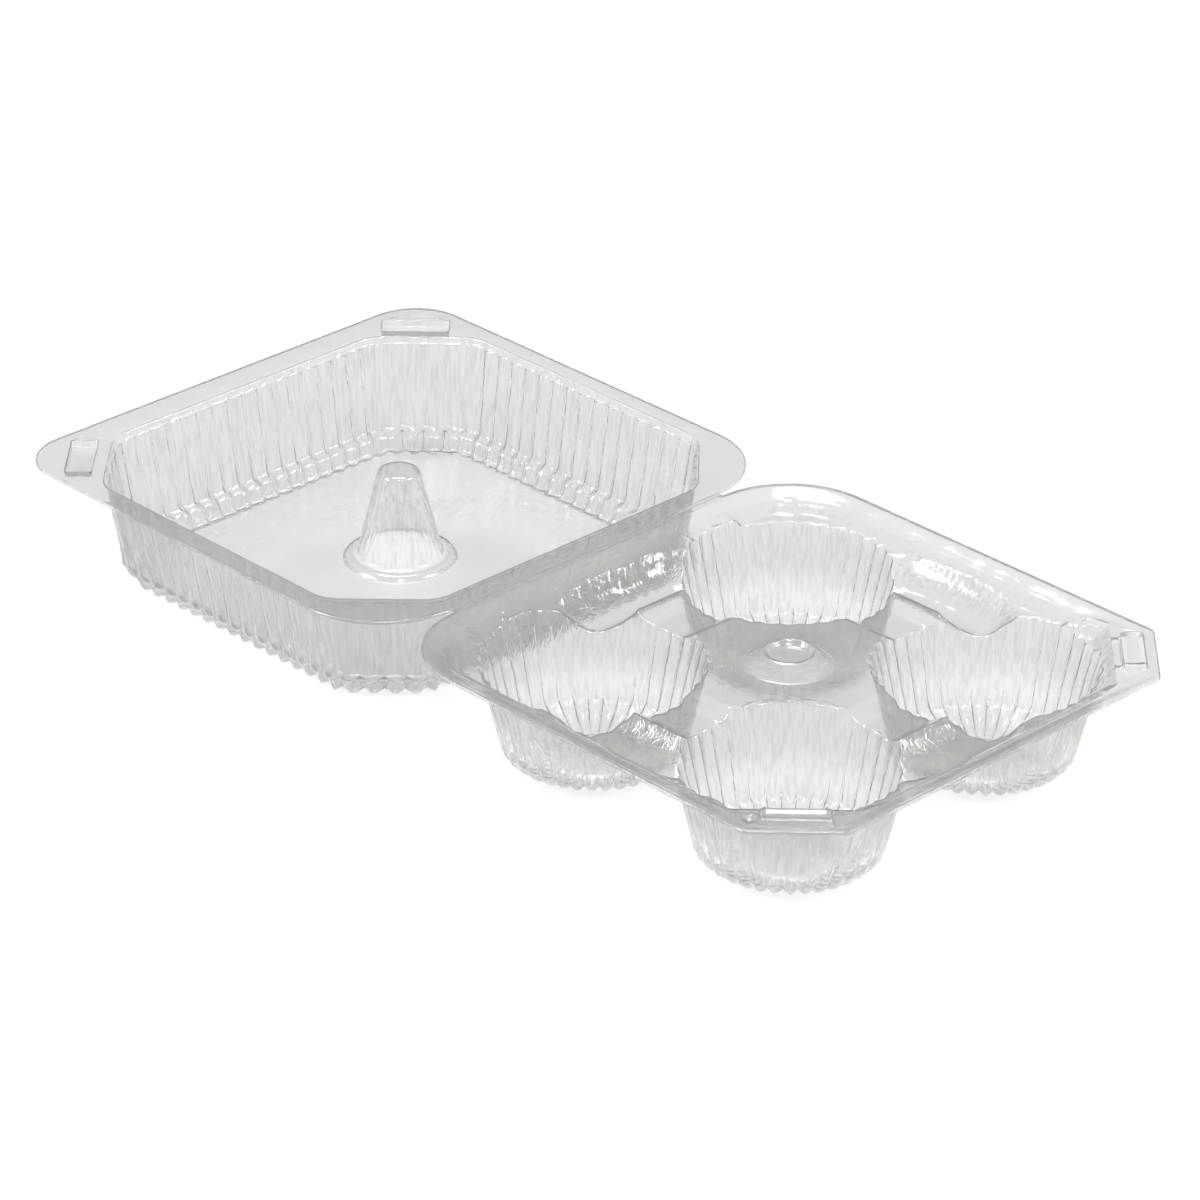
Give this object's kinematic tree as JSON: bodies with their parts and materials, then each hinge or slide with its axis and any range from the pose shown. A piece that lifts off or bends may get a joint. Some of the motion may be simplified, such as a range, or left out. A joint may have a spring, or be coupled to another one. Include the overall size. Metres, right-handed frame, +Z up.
{
  "type": "clear clamshell cake carton",
  "caption": "Clear thermoformed hinged carton: a base tray with round fluted cups and a deep fluted lid with a centre post, joined by a living hinge and shut by corner latches.",
  "frame": {"origin": "on the surface that the open carton lies on, under the middle of the hinge line, which is the centre of the open carton's box", "axes": "+X along the hinge, +Y from the base towards the lid as it lies open, +Z up out of the cups"},
  "size_m": [0.19, 0.382, 0.0442],
  "materials": {
    "clear_base": "clear glossy formed sheet, water-clear with faint grey where it is seen edge-on",
    "clear_lid": "clear glossy formed sheet, with a slightly hazy flat roof",
    "hinge_crease": "clear sheet thinned and creased to bend"
  },
  "bodies": {
    "base": {"base_rim": "clear_base", "base_shelf": "clear_base", "base_deck": "clear_base", "base_boss": "clear_base", "trough_front": "clear_base", "trough_rear": "clear_base", "trough_left": "clear_base", "trough_right": "clear_base", "cup_rear_left": "clear_base", "cup_rear_right": "clear_base", "cup_front_left": "clear_base", "cup_front_right": "clear_base", "latch_button_left": "clear_base", "latch_button_right": "clear_base", "hinge_film": "hinge_crease"},
    "lid": {"lid_rim": "clear_lid", "lid_wall": "clear_lid", "lid_roof": "clear_lid", "lid_post": "clear_lid", "latch_recess_left": "clear_lid", "latch_recess_right": "clear_lid"}
  },
  "joints": [
    {"name": "lid_hinge", "type": "hinge", "parent": "base", "child": "lid", "pos_m": [0, 0, 0.0423], "axis": [1, 0, 0], "range_deg": [0, 180]}
  ]
}
